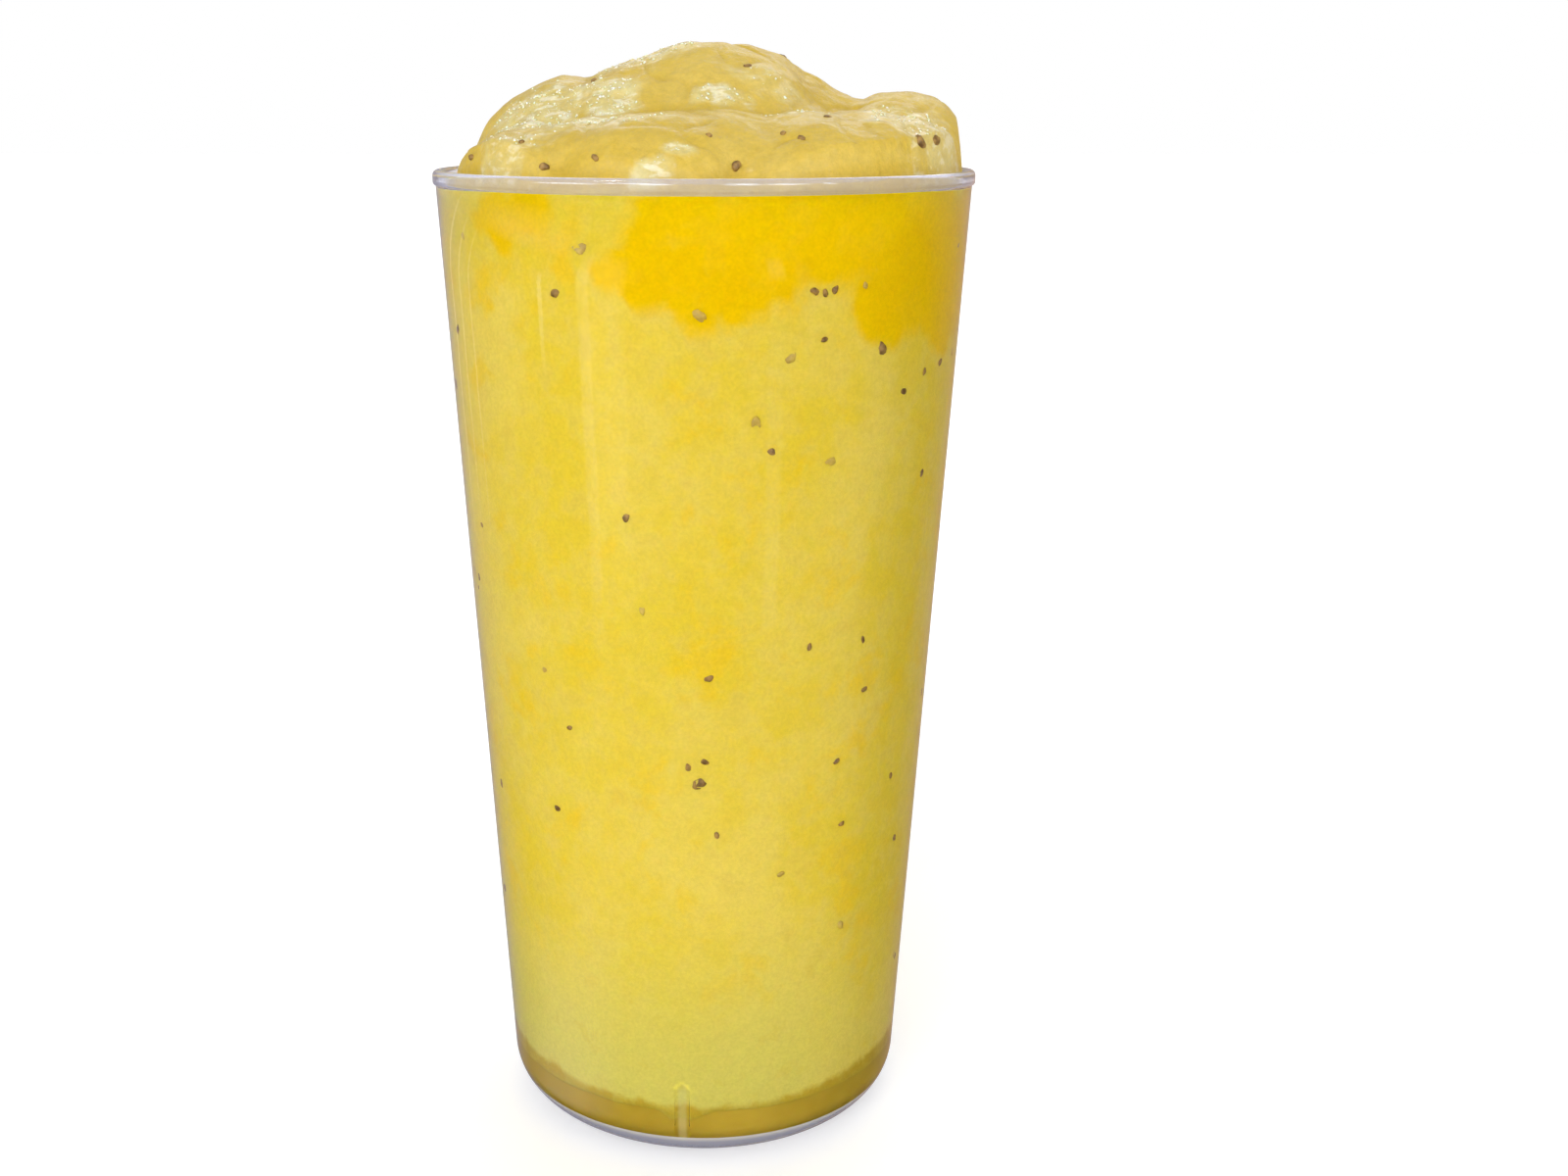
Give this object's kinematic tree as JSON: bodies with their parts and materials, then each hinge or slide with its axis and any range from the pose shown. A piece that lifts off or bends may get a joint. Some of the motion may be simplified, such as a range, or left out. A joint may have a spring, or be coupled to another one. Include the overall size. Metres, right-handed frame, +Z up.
{
  "type": "passion fruit smoothie",
  "caption": "Passion fruit smoothie in a tall tapered clear plastic tumbler, heaped above the rim, with crushed dark seeds and a band of settled juice in the rounded foot.",
  "frame": {"origin": "centre of the tumbler's foot, on the surface it stands on", "axes": "+Z up along the tumbler's axis, -Y towards the side that the picture shows"},
  "size_m": [0.086, 0.086, 0.1783],
  "materials": {
    "clear_plastic": "clear hard plastic, high gloss",
    "settled_juice": "clouded amber juice",
    "smoothie": "wet frozen fruit pulp with dark crushed seeds"
  },
  "bodies": {
    "root": {"tumbler": "clear_plastic", "settled_juice": "settled_juice", "smoothie": "smoothie"}
  },
  "joints": []
}
